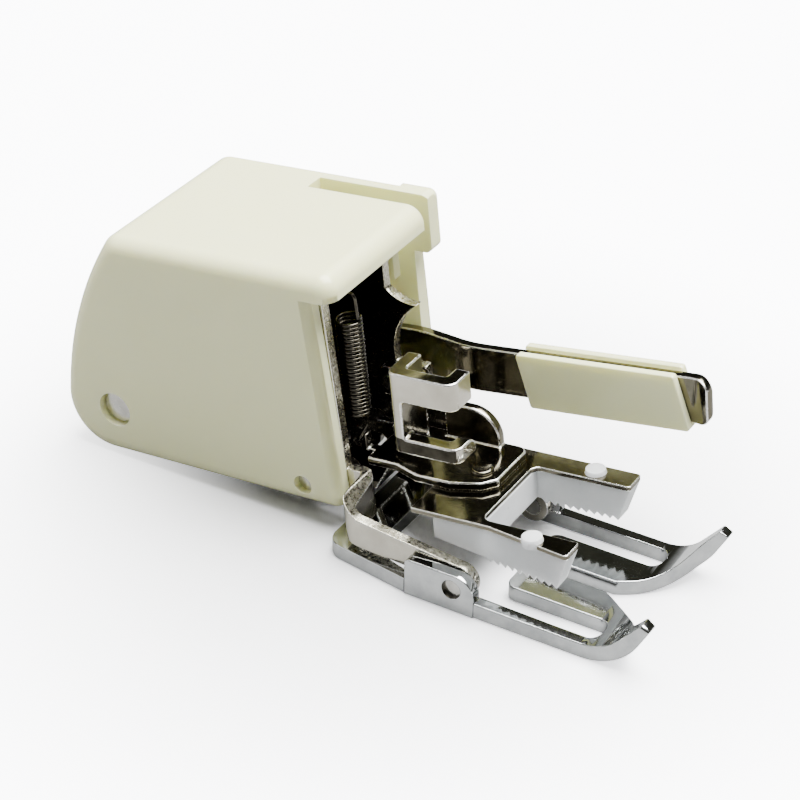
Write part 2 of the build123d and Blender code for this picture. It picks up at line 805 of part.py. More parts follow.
# Lift rocker: two side plates under one web, the far one with the crank's slot
tail_half = roller_radius + roller_gap
tail_rear = crank_x - roller_radius / 2 - tail_half - rocker_tail_wall
web_z = rocker_web_bottom + rocker_plate
rocker_web_front = guide_x + rocker_web_ahead
with BuildPart() as lift_rocker:
    with BuildSketch(side_at(rocker_far)):
        Polygon(
            (pivot_x, pivot_z - rocker_eye),
            (pivot_x, pivot_z + rocker_eye),
            (rocker_web_front, web_z),
            (rocker_web_rear, web_z),
            (tail_rear, crank_z + tail_half + rocker_tail_wall),
            (tail_rear, crank_z - tail_half - rocker_tail_wall),
            (guide_x, guide_z - guide_eye),
            align=None,
        )
        disc(pivot_x, pivot_z, rocker_eye)
        disc(pivot_x, pivot_z, pivot_radius + running_gap, Mode.SUBTRACT)
        disc(guide_x, guide_z, guide_radius + press_gap, Mode.SUBTRACT)
        with Locations((crank_x, crank_z)):
            SlotCenterToCenter(roller_radius, 2 * tail_half, mode=Mode.SUBTRACT)
    extrude(amount=rocker_plate)
    with BuildSketch(side_at(rocker_near + rocker_plate)):
        Polygon(
            (pivot_x, pivot_z - rocker_eye),
            (pivot_x, pivot_z + rocker_eye),
            (rocker_web_front, web_z),
            (rocker_web_rear, web_z),
            (rocker_web_rear, guide_z - guide_eye),
            (guide_x, guide_z - guide_eye),
            align=None,
        )
        disc(pivot_x, pivot_z, rocker_eye)
        disc(pivot_x, pivot_z, pivot_radius + running_gap, Mode.SUBTRACT)
        disc(guide_x, guide_z, guide_radius + press_gap, Mode.SUBTRACT)
    extrude(amount=rocker_plate)
    with BuildSketch(side_at(rocker_far)):
        band(rocker_web_rear, rocker_web_front, rocker_web_bottom, web_z)
    extrude(amount=rocker_far - rocker_near)
    # Lug that the feed spring pushes from
    with BuildSketch(side_at(feed_lug_y + lug_half)):
        band(rocker_web_front - lug_plate, rocker_web_front, feed_coil_z - lug_half, web_z)
    extrude(amount=2 * lug_half)
write(lift_rocker, "lift_rocker")

with BuildPart() as guide_pin:
    with BuildSketch(side_at(rocker_far)):
        disc(guide_x, guide_z, guide_radius)
    extrude(amount=rocker_far - rocker_near)
write(guide_pin, "guide_pin")

# Feed carrier: two slotted arms, a web below, and the flange over the feed plate
slot_middle = feed_travel / 2
with BuildPart() as feed_carrier:
    for far_face, front_end in ((carrier_near + carrier_plate, False), (carrier_far, True)):
        with BuildSketch(side_at(far_face)) as carrier_arm:
            Polygon(
                (carrier_rear, guide_z - guide_eye),
                (carrier_rear, guide_z + guide_eye),
                (rocker_web_front, guide_z + guide_eye),
                (carrier_web_rear, carrier_top),
                (flange_rear, carrier_top),
                (flange_rear, flange_bottom),
                (carrier_rise_x, flange_bottom),
                (carrier_web_front, carrier_bottom),
                (carrier_web_rear, carrier_bottom),
                (rocker_web_front, guide_z - guide_eye),
                align=None,
            )
            if front_end:
                band(upright_rear, upright_front, flange_bottom, upright_top)
                fillet(nearest(carrier_arm, upright_front, upright_top), upright_round)
                fillet(nearest(carrier_arm, upright_rear, upright_top), upright_round / 2)
            else:
                band(
                    lift_spring_x - hook_lug_half,
                    lift_spring_x + hook_lug_half,
                    carrier_bottom,
                    hook_lug_top,
                )
                disc(lift_spring_x, hook_hole_z, hook_hole, Mode.SUBTRACT)
            for slot_x, slot_z, pin_radius in (
                (pivot_x, pivot_z, pivot_radius),
                (guide_x, guide_z, guide_radius),
            ):
                with Locations((slot_x + slot_middle, slot_z)):
                    SlotCenterToCenter(feed_travel, 2 * (pin_radius + running_gap), mode=Mode.SUBTRACT)
        extrude(amount=carrier_plate)
    with BuildSketch(side_at(carrier_far)):
        band(carrier_web_rear, carrier_web_front, carrier_bottom, carrier_bottom + carrier_web)
    extrude(amount=carrier_far - carrier_near)
    with BuildSketch(side_at(feed_lug_y + lug_half)):
        band(carrier_web_rear, carrier_web_rear + lug_plate, carrier_bottom, feed_coil_z + lug_half)
    extrude(amount=2 * lug_half)
    with BuildSketch(plan_at(flange_bottom)) as flange:
        Polygon(
            (flange_rear, flange_waist_near),
            (flange_waist_x, flange_waist_near),
            (flange_flare_x, flange_near),
            (flange_flare_x / 2, flange_near),
            (flange_front - flange_corner, flange_near + flange_corner),
            (flange_front, carrier_near),
            (flange_front, carrier_far),
            (flange_rear, carrier_far),
            align=None,
        )
        fillet(nearest(flange, flange_front, carrier_far), flange_corner)
        disc(carrier_rivet_x, carrier_rivet_y, carrier_rivet_radius + press_gap, Mode.SUBTRACT)
    extrude(amount=carrier_top - flange_bottom)
write(feed_carrier, "feed_carrier")

# Feed plate: a fork of plate under the flange, holed for the pads' pegs
with BuildPart() as feed_plate:
    with BuildSketch(plan_at(flange_bottom)) as fork:
        Polygon(
            (feed_rear, -feed_root_outer),
            (feed_rear, feed_root_outer),
            (feed_shoulder_x, feed_root_outer),
            (feed_shoulder_x + feed_shoulder, feed_tip_outer),
            (feed_front, feed_tip_outer),
            (feed_front, feed_inner),
            (feed_throat, feed_inner),
            (feed_throat, -feed_inner),
            (feed_front, -feed_inner),
            (feed_front, -feed_tip_outer),
            (feed_taper_start, -feed_root_outer),
            align=None,
        )
        for side in (-1, 1):
            fillet(nearest(fork, feed_throat, side * feed_inner), fork_round)
            fillet(nearest(fork, feed_front, side * feed_inner), fork_tip_round)
            fillet(nearest(fork, feed_front, side * feed_tip_outer), fork_tip_round)
            disc(peg_x, side * peg_y, peg_radius + press_gap, Mode.SUBTRACT)
        disc(carrier_rivet_x, carrier_rivet_y, carrier_rivet_radius + press_gap, Mode.SUBTRACT)
    extrude(amount=-feed_plate_thickness)
write(feed_plate, "feed_plate")

# Nylon pads: one fork with saw teeth below and two pegs through the plate
pad_top = flange_bottom - feed_plate_thickness
teeth_front = feed_front - pad_inset - pad_lean
teeth = []
for tooth in range(tooth_count):
    teeth.append((teeth_front - tooth * tooth_pitch, pad_bottom))
    teeth.append((teeth_front - (tooth + tooth_rake) * tooth_pitch, pad_bottom + tooth_depth))
with BuildPart() as feed_pads:
    with BuildSketch(plan_at(pad_bottom)):
        Polygon(
            (pad_rear, 0),
            (pad_rear, feed_root_outer - pad_inset),
            (feed_taper_start, feed_root_outer - pad_inset),
            (feed_front - pad_inset, feed_tip_outer - pad_inset),
            (feed_front - pad_inset, feed_inner + pad_inset),
            (feed_throat + pad_inset, feed_inner + pad_inset),
            (feed_throat + pad_inset, 0),
            align=None,
        )
        mirror(about=Plane.XZ)
        disc(carrier_rivet_x, carrier_rivet_y, carrier_rivet_radius + side_gap, Mode.SUBTRACT)
    extrude(amount=pad_top - pad_bottom)
    with BuildSketch(side_at(feed_tip_outer)):
        Polygon(
            (feed_front - pad_inset, pad_top),
            *teeth,
            (teeth_front - tooth_count * tooth_pitch, pad_bottom + tooth_depth),
            (pad_rear, pad_rear_bottom),
            (pad_rear, pad_top),
            align=None,
        )
    extrude(amount=2 * feed_tip_outer, mode=Mode.INTERSECT)
    with BuildSketch(plan_at(pad_top)):
        for side in (-1, 1):
            disc(peg_x, side * peg_y, peg_radius)
    extrude(amount=feed_plate_thickness + peg_rise)
write(feed_pads, "feed_pads")

with BuildPart() as carrier_rivet:
    with BuildSketch(plan_at(pad_top)):
        disc(carrier_rivet_x, carrier_rivet_y, carrier_rivet_radius)
    extrude(amount=carrier_top - pad_top)
    with BuildSketch(plan_at(carrier_top)):
        disc(carrier_rivet_x, carrier_rivet_y, carrier_rivet_cap)
    extrude(amount=rivet_cap_height, taper=rivet_cap_taper)
write(carrier_rivet, "carrier_rivet")


def coil(plane, radius, pitch, turns):
    """A wound spring: a tube about the plane's y axis with one rib to a turn."""
    inside = radius - spring_wire / 2
    outside = radius + spring_wire / 2
    ribs = [(radius, 0)]
    for turn in range(turns):
        ribs.append((outside, (turn + 0.5) * pitch))
        ribs.append((radius, (turn + 1) * pitch))
    with BuildPart() as winding:
        with BuildSketch(plane):
            Polygon((inside, 0), *ribs, (inside, turns * pitch), align=None)
        revolve(axis=Axis(plane.origin, plane.y_dir))
    return winding.part


# Lift spring: pulls the feed foot up, hooked in its lug and over the cross bar
lift_coil_y = carrier_near + carrier_plate / 2
lift_coil_top = lift_coil_bottom + lift_coil_turns * lift_coil_pitch
lift_leg_y = lift_coil_y - lift_coil_radius + spring_wire / 4
lug_hook_z = hook_hole_z + hook_hole - spring_wire / 2 - running_gap
bar_hook_z = post_z + post_radius + spring_wire / 2 + running_gap
lift_seat = side_at(lift_coil_y).from_local_coords((lift_spring_x, lift_coil_bottom))
lift_coil = coil(
    Plane(lift_seat, x_dir=forward, z_dir=(0, -1, 0)),
    lift_coil_radius,
    lift_coil_pitch,
    lift_coil_turns,
)
with BuildPart() as lift_spring:
    add(lift_coil)
    with BuildLine(front_at(lift_spring_x)) as lug_hook:
        FilletPolyline(
            (lift_leg_y, lift_coil_bottom + spring_wire),
            (lift_leg_y, lug_hook_z),
            (carrier_near + carrier_plate + 2 * spring_wire, lug_hook_z),
            radius=hook_bend,
        )
    with BuildSketch(Plane(lug_hook.line @ 0, z_dir=lug_hook.line % 0)):
        Circle(spring_wire / 2)
    sweep(path=lug_hook.line)
    with BuildLine(side_at(lift_coil_y)) as bar_hook:
        FilletPolyline(
            (lift_spring_x - lift_coil_radius + spring_wire / 4, lift_coil_top - spring_wire),
            (post_x + 2 * post_radius, bar_hook_z),
            (post_x - post_radius, bar_hook_z),
            radius=hook_bend,
        )
    with BuildSketch(Plane(bar_hook.line @ 0, z_dir=bar_hook.line % 0)):
        Circle(spring_wire / 2)
    sweep(path=bar_hook.line)
write(lift_spring, "lift_spring")

# Lever spring: wound round the shaft
lever_seat = side_at(torsion_near).from_local_coords((shaft_x, shaft_z))
lever_coil = coil(
    Plane(lever_seat, x_dir=forward, z_dir=upward),
    torsion_radius,
    torsion_pitch,
    torsion_turns,
)
with BuildPart() as lever_spring:
    add(lever_coil)
write(lever_spring, "lever_spring")

# Feed spring: holds the feed foot forward, between the rocker's lug and the carrier's
feed_seat = side_at(feed_lug_y).from_local_coords((rocker_web_front, feed_coil_z))
feed_coil = coil(
    Plane(feed_seat, x_dir=(0, 1, 0), z_dir=-Vector(upward)),
    feed_coil_radius,
    (carrier_web_rear - rocker_web_front) / feed_coil_turns,
    feed_coil_turns,
)
with BuildPart() as feed_spring:
    add(feed_coil)
write(feed_spring, "feed_spring")
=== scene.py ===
import json
import math

import bmesh
import bpy
from mathutils import Matrix, Vector
from mathutils.bvhtree import BVHTree
from mathutils.geometry import delaunay_2d_cdt


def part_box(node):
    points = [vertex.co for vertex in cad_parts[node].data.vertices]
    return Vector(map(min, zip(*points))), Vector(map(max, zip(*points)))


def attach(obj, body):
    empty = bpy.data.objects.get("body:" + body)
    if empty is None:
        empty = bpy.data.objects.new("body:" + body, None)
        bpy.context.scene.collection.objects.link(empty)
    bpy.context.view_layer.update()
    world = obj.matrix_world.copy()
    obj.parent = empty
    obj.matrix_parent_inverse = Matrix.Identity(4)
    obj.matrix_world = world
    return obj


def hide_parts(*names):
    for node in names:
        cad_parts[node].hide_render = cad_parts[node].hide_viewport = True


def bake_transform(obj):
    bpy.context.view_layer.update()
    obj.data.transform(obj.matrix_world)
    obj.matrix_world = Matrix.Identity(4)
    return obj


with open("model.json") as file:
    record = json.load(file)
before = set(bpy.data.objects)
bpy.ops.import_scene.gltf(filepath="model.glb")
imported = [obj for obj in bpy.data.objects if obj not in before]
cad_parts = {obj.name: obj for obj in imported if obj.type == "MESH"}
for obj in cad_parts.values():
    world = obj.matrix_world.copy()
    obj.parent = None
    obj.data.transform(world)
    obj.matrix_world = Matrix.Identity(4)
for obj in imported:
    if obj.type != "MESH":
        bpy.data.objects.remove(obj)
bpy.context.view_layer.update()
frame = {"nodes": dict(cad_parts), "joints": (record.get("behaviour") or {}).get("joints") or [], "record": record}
nodes = frame["nodes"]
bodyOf = {}
for body, members in frame["record"]["behaviour"]["bodies"].items():
    for member in members:
        bodyOf[member] = body
slotOf = {row["node"]: row["material_slot"] for row in frame["record"]["subparts"]}
joints = {joint["name"]: joint for joint in frame["joints"]}
print("frame loaded:", len(nodes), "nodes")

# The housing leans back on the sole's hinge, so its places are counted along it
hinge = Vector(joints["sole_tilt"]["pos_m"])
forward = Vector(joints["feed_slide"]["axis"]).normalized()
across = Vector((0, 1, 0))
upward = forward.cross(across)


def housingPoint(x, y, z):
    return hinge + (forward * x + across * y + upward * z) / 1000  # given in mm


def alongHousing(point):
    return (point - hinge).dot(forward) * 1000


def upHousing(point):
    return (point - hinge).dot(upward) * 1000


# Shader helpers

def newMaterial(name):
    material = bpy.data.materials.new(name)
    material.use_nodes = True
    tree = material.node_tree
    tree.nodes.clear()
    output = tree.nodes.new("ShaderNodeOutputMaterial")
    shader = tree.nodes.new("ShaderNodeBsdfPrincipled")
    tree.links.new(shader.outputs["BSDF"], output.inputs["Surface"])
    return material, tree, shader


def objectPoint(tree):
    return tree.nodes.new("ShaderNodeTexCoord").outputs["Object"]


def noise(tree, point, scale, detail, roughness=0.5):
    texture = tree.nodes.new("ShaderNodeTexNoise")
    texture.inputs["Scale"].default_value = scale
    texture.inputs["Detail"].default_value = detail
    texture.inputs["Roughness"].default_value = roughness
    tree.links.new(point, texture.inputs["Vector"])
    return texture.outputs["Fac"]


def ramp(tree, factor, *stops):
    node = tree.nodes.new("ShaderNodeValToRGB")
    band = node.color_ramp
    while len(band.elements) < len(stops):
        band.elements.new(0.5)
    for element, (place, colour) in zip(band.elements, stops):
        element.position = place
        element.color = (*colour, 1)
    tree.links.new(factor, node.inputs["Fac"])
    return node.outputs["Color"]


def spread(tree, value, band, reach):
    node = tree.nodes.new("ShaderNodeMapRange")
    node.inputs["From Min"].default_value, node.inputs["From Max"].default_value = band
    node.inputs["To Min"].default_value, node.inputs["To Max"].default_value = reach
    tree.links.new(value, node.inputs["Value"])
    return node.outputs["Result"]


def addBumps(tree, shader, point, bumps):
    normal = None
    for scale, detail, strength, depth in bumps:  # coarse first, the fine ones on top
        node = tree.nodes.new("ShaderNodeBump")
        node.inputs["Strength"].default_value = strength
        node.inputs["Distance"].default_value = depth
        tree.links.new(noise(tree, point, scale, detail), node.inputs["Height"])
        if normal:
            tree.links.new(normal, node.inputs["Normal"])
        normal = node.outputs["Normal"]
    tree.links.new(normal, shader.inputs["Normal"])


# How the noise of every finish is drawn, and which part of it counts
grain = {
    "toneDetail": 4,
    "toneRoughness": 0.6,
    "toneBand": (0.32, 0.68),
    "glossDetail": 5,
    "glossRoughness": 0.65,
    "glossBand": (0.3, 0.7),
}
# Finishes: tones, gloss and bumps of each, with noise scales per metre
finishes = {
    "ivoryPlastic": {
        "tones": ((0.81, 0.82, 0.475), (0.83, 0.835, 0.495)),
        "toneScale": 60,
        "roughness": (0.2, 0.25),
        "roughScale": 900,
        "bumps": ((160, 1, 0.02, 0.0003), (3200, 2, 0.04, 0.00004)),
        "sockets": {
            "Subsurface Weight": 0.35,
            "Subsurface Radius": (1.0, 0.9, 0.4),
            "Subsurface Scale": 0.002,
            "Coat Weight": 0.25,
            "Coat Roughness": 0.12,
        },
    },
    "chromePlate": {
        "tones": ((0.48, 0.5, 0.5), (0.64, 0.655, 0.65)),
        "toneScale": 500,
        "roughness": (0.04, 0.12),
        "roughScale": 2600,
        "bumps": ((260, 2, 0.04, 0.0002), (3500, 4, 0.06, 0.00004)),
        "sockets": {"Metallic": 1.0},
    },
    "nickelPlate": {
        "tones": ((0.5, 0.472, 0.392), (0.65, 0.622, 0.535)),
        "toneScale": 260,
        "roughness": (0.07, 0.2),
        "roughScale": 1400,
        "bumps": ((320, 2, 0.05, 0.0002), (4200, 4, 0.08, 0.00004)),
        "sockets": {"Metallic": 1.0},
    },
    # Painted shade and painted dark reflection: nickel darkened where it lies in shade or mirrors dark
    # surroundings
    "paintedShadeNickel": {
        "tones": ((0.105, 0.095, 0.068), (0.21, 0.195, 0.146)),
        "toneScale": 240,
        "roughness": (0.06, 0.15),
        "roughScale": 1400,
        "bumps": ((320, 2, 0.04, 0.0002), (4200, 4, 0.06, 0.00004)),
        "sockets": {"Metallic": 1.0},
    },
    # Painted dark reflection: nickel blackened where it would mirror the dark flange
    "shadedNickel": {
        "tones": ((0.02, 0.018, 0.013), (0.07, 0.065, 0.05)),
        "toneScale": 420,
        "roughness": (0.08, 0.2),
        "roughScale": 1400,
        "bumps": ((320, 2, 0.04, 0.0002),),
        "sockets": {"Metallic": 1.0},
    },
    # Painted highlight: the rounded edges get a lighter tone than their plate
    "paintedHighlightEdge": {
        "tones": ((0.74, 0.73, 0.68), (0.95, 0.94, 0.9)),
        "toneScale": 3200,
        "roughness": (0.1, 0.34),
        "roughScale": 4200,
        "bumps": ((3800, 3, 0.3, 0.00006),),
        "sockets": {"Metallic": 1.0},
    },
    "shearedEdge": {
        "tones": ((0.2, 0.188, 0.13), (0.56, 0.54, 0.45)),
        "toneScale": 3000,
        "roughness": (0.16, 0.42),
        "roughScale": 2200,
        "bumps": ((520, 2, 0.12, 0.00012), (3600, 3, 0.25, 0.00005)),
        "sockets": {"Metallic": 1.0},
    },
    "turnedSteel": {
        "tones": ((0.5, 0.49, 0.45), (0.68, 0.67, 0.63)),
        "toneScale": 700,
        "roughness": (0.14, 0.28),
        "roughScale": 2600,
        "bumps": ((2400, 3, 0.14, 0.00005),),
        "sockets": {"Metallic": 1.0},
    },
    # Painted shade: steel darkened to stand for the shade inside the housing, in the ear's hole and behind the
    # head's slot
    "paintedShadeSteel": {
        "tones": ((0.06, 0.056, 0.045), (0.15, 0.14, 0.115)),
        "toneScale": 600,
        "roughness": (0.16, 0.3),
        "roughScale": 1600,
        "bumps": ((500, 3, 0.14, 0.0001),),
        "sockets": {"Metallic": 1.0},
    },
    "springSteel": {
        "tones": ((0.032, 0.03, 0.024), (0.1, 0.092, 0.072)),
        "toneScale": 1200,
        "roughness": (0.12, 0.24),
        "roughScale": 3200,
        "bumps": ((5200, 2, 0.1, 0.00003),),
        "sockets": {"Metallic": 1.0},
    },
    "whiteNylon": {
        "tones": ((0.57, 0.585, 0.595), (0.64, 0.65, 0.655)),
        "toneScale": 300,
        "roughness": (0.26, 0.4),
        "roughScale": 1500,
        "bumps": ((700, 3, 0.08, 0.0001),),
        "sockets": {
            "Subsurface Weight": 0.8,
            "Subsurface Radius": (1.0, 1.0, 1.0),
            "Subsurface Scale": 0.0025,
        },
    },
}


def makeFinish(name, look):
    material, tree, shader = newMaterial(name)
    point = objectPoint(tree)
    cloud = noise(tree, point, look["toneScale"], grain["toneDetail"], grain["toneRoughness"])
    tone = ramp(tree, cloud, *zip(grain["toneBand"], look["tones"]))
    tree.links.new(tone, shader.inputs["Base Color"])
    wear = noise(tree, point, look["roughScale"], grain["glossDetail"], grain["glossRoughness"])
    gloss = spread(tree, wear, grain["glossBand"], look["roughness"])
    tree.links.new(gloss, shader.inputs["Roughness"])
    addBumps(tree, shader, point, look["bumps"])
    for socket, value in look["sockets"].items():
        shader.inputs[socket].default_value = value
    return material


materials = {name: makeFinish(name, look) for name, look in finishes.items()}
slotFinish = {
    "ivory_plastic": "ivoryPlastic",
    "chrome": "chromePlate",
    "nickel_plate": "nickelPlate",
    "turned_steel": "turnedSteel",
    "spring_steel": "springSteel",
    "white_nylon": "whiteNylon",
}
# Painted shade: the parts deep inside the housing get the darkened steel, not their own colour
paintedShadeInside = ("lift_rocker", "guide_pin", "lever_hub", "crank_pin", "crank_roller", "spring_bar")
# Painted shade and painted dark reflection: these plates get the darkened nickel
paintedShadePlates = ("lever_arm", "feed_carrier", "feed_plate", "carrier_rivet")
for node, slot in slotOf.items():
    finish = slotFinish[slot]
    if node in paintedShadeInside:
        finish = "paintedShadeSteel"
    elif node in paintedShadePlates:
        finish = "paintedShadeNickel"
    nodes[node].data.materials.clear()
    nodes[node].data.materials.append(materials[finish])
print("finishes on every node")


# Pieces made from a node, or in place of one

def plainMesh(piece):
    view = bpy.context.evaluated_depsgraph_get()
    return bpy.data.meshes.new_from_object(piece.evaluated_get(view), depsgraph=view)


def newPiece(name, mesh):
    piece = bpy.data.objects.new(name, mesh)
    bpy.context.scene.collection.objects.link(piece)
    return piece


def standFor(node):
    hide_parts(node)


# Rounded edges: width in mm, and the finish that the rounding shows, which is a painted highlight where named. The
# cover's own edges are round already
softEdges = {
    "cover": {"piece": "softCover", "width": 0, "edge": None},
    "lever_sleeve": {"piece": "softSleeve", "width": 0.16, "edge": None},
    "sole_plate": {"piece": "softSole", "width": 0.13, "edge": None},
    "main_frame": {"piece": "softFrame", "width": 0.12, "edge": "paintedHighlightEdge"},
    "attachment_head": {"piece": "softHead", "width": 0.2, "edge": "paintedHighlightEdge"},
    "feed_carrier": {"piece": "softCarrier", "width": 0.2, "edge": "paintedHighlightEdge"},
    "feed_plate": {"piece": "softFeedPlate", "width": 0.1, "edge": "paintedHighlightEdge"},
    "lever_arm": {"piece": "softLever", "width": 0.16, "edge": "paintedHighlightEdge"},
    "feed_pads": {"piece": "softPads", "width": 0.06, "edge": None},
    "carrier_rivet": {"piece": "softRivet", "width": 0.16, "edge": None},
}
edgeRule = {
    "mergeWithin": 0.000002,  # metres
    "flatWithin": 0.6,  # degrees, under which two faces become one
    "sharperThan": 34.0,  # degrees, past which an edge is rounded
    "steps": 2,
    "astray": 0.00016,  # metres off the solid, past which a face is cut again
    "recutWithin": 0.00001,  # mm
}
# Two plates change finish part way, the head to painted dark reflection and the carrier to painted shade, so they
# are cut there: which way the cut faces, and where, in mm
faceCuts = {
    "attachment_head": {"facing": upward, "at": 12.65},
    "feed_carrier": {"facing": forward, "at": -18.4},
}


def mergedCopy(node):
    work = bmesh.new()
    work.from_mesh(nodes[node].data)
    bmesh.ops.remove_doubles(work, verts=work.verts, dist=edgeRule["mergeWithin"])
    bmesh.ops.dissolve_limit(
        work, angle_limit=math.radians(edgeRule["flatWithin"]), verts=work.verts, edges=work.edges
    )
    if node in faceCuts:
        facing = faceCuts[node]["facing"]
        place = hinge + facing * faceCuts[node]["at"] / 1000
        parts = work.verts[:] + work.edges[:] + work.faces[:]
        bmesh.ops.bisect_plane(work, geom=parts, plane_co=place, plane_no=facing)
    mesh = bpy.data.meshes.new(node + ".soft")
    work.to_mesh(mesh)
    work.free()
    return mesh


def solidSurface(node):
    work = bmesh.new()
    work.from_mesh(nodes[node].data)
    surface = BVHTree.FromBMesh(work)
    work.free()
    return surface


def holdToSurface(softMesh, surface, box, reach):
    low, high = box
    for vertex in softMesh.vertices:
        place, _, _, gap = surface.find_nearest(vertex.co)
        if gap > reach:  # a rounding that overshot at a short edge
            vertex.co = place
        vertex.co = [min(max(value, a), b) for value, a, b in zip(vertex.co, low, high)]


def isAstray(corners, surface):
    a, b, c = corners
    places = ((a + b + c) / 3, (a + b) / 2, (b + c) / 2, (c + a) / 2)
    return any(surface.find_nearest(place)[3] > edgeRule["astray"] for place in places)


def recutFace(work, face, surface):
    corners = face.verts[:]
    origin = corners[0].co
    side = (corners[1].co - origin).normalized()
    other = face.normal.cross(side)
    flat = [Vector(((c.co - origin).dot(side), (c.co - origin).dot(other))) * 1000 for c in corners]
    outline = [list(range(len(flat)))]
    inside = 1  # only triangles within the outline
    places, _, triangles, came, _, _ = delaunay_2d_cdt(flat, [], outline, inside, edgeRule["recutWithin"])
    verts = []
    for place, old in zip(places, came):
        if old:
            verts.append(corners[old[0]])
        else:
            verts.append(work.verts.new(origin + (side * place.x + other * place.y) / 1000))
    for triangle in triangles:
        three = [verts[i] for i in triangle]
        if len(set(three)) < 3 or isAstray([v.co for v in three], surface) or work.faces.get(three):
            continue
        part = work.faces.new(three)
        part.material_index = face.material_index
        part.smooth = True


def mendFaces(softMesh, surface):
    softMesh.calc_loop_triangles()
    astray = set()
    for triangle in softMesh.loop_triangles:
        if isAstray([softMesh.vertices[i].co for i in triangle.vertices], surface):
            astray.add(triangle.polygon_index)
    work = bmesh.new()
    work.from_mesh(softMesh)
    work.faces.ensure_lookup_table()
    broken = [work.faces[i] for i in sorted(astray)]
    for face in broken:  # a flat face that would bridge an opening in it
        recutFace(work, face, surface)
    bmesh.ops.delete(work, geom=broken, context="FACES")
    work.to_mesh(softMesh)
    work.free()


def roundEdges(node, plan):
    mesh = mergedCopy(node)
    mesh.shade_smooth()
    mesh.materials.append(nodes[node].data.materials[0])
    if plan["edge"]:
        mesh.materials.append(materials[plan["edge"]])
    piece = newPiece(plan["piece"], mesh)
    if plan["width"]:
        rounding = piece.modifiers.new("rounding", "BEVEL")
        rounding.width = plan["width"] / 1000
        rounding.segments = edgeRule["steps"]
        rounding.limit_method = "ANGLE"
        rounding.angle_limit = math.radians(edgeRule["sharperThan"])
        rounding.use_clamp_overlap = False
        rounding.material = 1 if plan["edge"] else -1
        softMesh = plainMesh(piece)
        piece.modifiers.clear()
        surface = solidSurface(node)
        holdToSurface(softMesh, surface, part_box(node), plan["width"] / 2000)
        mendFaces(softMesh, surface)
        piece.data = softMesh
    else:
        mesh.set_sharp_from_angle(angle=math.radians(edgeRule["sharperThan"]))
    flatFaces = piece.modifiers.new("flatFaces", "WEIGHTED_NORMAL")
    flatFaces.keep_sharp = True
    piece.data = plainMesh(piece)
    piece.modifiers.clear()
    standFor(node)
    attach(piece, bodyOf[node])
    return piece


softPieces = {node: roundEdges(node, plan) for node, plan in softEdges.items()}
print("edges rounded on", len(softPieces), "pieces")

# Plates that show another finish: sheared edges of the frame, painted shade on the inside and in the sole's ear
# hole, and painted dark reflection and shade on the head.
# Places are in mm along or up the housing, and facings are cosines
plateLook = {
    "edgeFacing": 0.45,
    "frameInside": -14.6,
    "armFrom": -14.2,
    "armEdge": 0.6,
    "lugFrom": 7.7,
    "lugFront": -14.4,
    "slotBack": -7.5,
    "faceOn": 0.8,
    "earHole": 1.7,
}


def addFinish(piece, finish):
    piece.data.materials.append(materials[finish])
    return len(piece.data.materials) - 1


def paintFrame(piece):
    sheared = addFinish(piece, "shearedEdge")
    inside = addFinish(piece, "paintedShadeSteel")
    low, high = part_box("main_frame")
    middle = (low.y + high.y) / 2
    for face in piece.data.polygons:
        along = alongHousing(face.center)
        sideways = face.normal.dot(across)
        edge = abs(sideways) < plateLook["edgeFacing"]
        if along > plateLook["armFrom"]:  # the arms bend, so only their upper and lower edges count
            edge = abs(face.normal.dot(upward)) > plateLook["armEdge"]
        if edge:
            face.material_index = sheared
        # the frame's inner faces get painted shade
        elif sideways * (middle - face.center.y) > 0 and along < plateLook["frameInside"]:
            face.material_index = inside


def paintCarrier(piece):
    inside = addFinish(piece, "paintedShadeSteel")
    for face in piece.data.polygons:
        along = alongHousing(face.center)
        lug = along < plateLook["lugFront"] and upHousing(face.center) > plateLook["lugFrom"]
        # the lug and the rear part get painted shade
        if lug or along < faceCuts["feed_carrier"]["at"]:
            face.material_index = inside


def paintHead(piece):
    shaded = addFinish(piece, "shadedNickel")
    dim = addFinish(piece, "paintedShadeNickel")
    barTop = faceCuts["attachment_head"]["at"]
    for face in piece.data.polygons:
        if face.material_index:  # the roundings keep their painted highlight
            continue
        slotBack = alongHousing(face.center) < plateLook["slotBack"]
        if face.normal.dot(across) < -plateLook["faceOn"] and upHousing(face.center) < barTop:
            face.material_index = shaded  # painted dark reflection of the dark flange below
        # painted dark reflection on the tops, and painted shade on the faces behind the slot
        elif face.normal.dot(upward) > plateLook["faceOn"]:
            face.material_index = dim
        elif face.normal.dot(forward) > plateLook["faceOn"] and slotBack:
            face.material_index = dim


def paintSole(piece):
    shaded = addFinish(piece, "paintedShadeSteel")
    for face in piece.data.polygons:
        reach = face.center - hinge
        reach.y = 0
        # painted shade in the ear's hole
        if reach.length * 1000 < plateLook["earHole"] and abs(face.normal.y) < plateLook["faceOn"]:
            face.material_index = shaded


paintHead(softPieces["attachment_head"])
paintFrame(softPieces["main_frame"])
paintCarrier(softPieces["feed_carrier"])
paintSole(softPieces["sole_plate"])
print("sheared edges and dark inside painted")


# Painted shade: a dark plate behind the head's slot, on the bent strip that carries the head, where only shade is
# seen
slotShade = {
    "low": (-14.6, 8.0, 5.4),
    "high": (-9.4, 8.5, 11.6),
    "noseCut": 0.9,
}


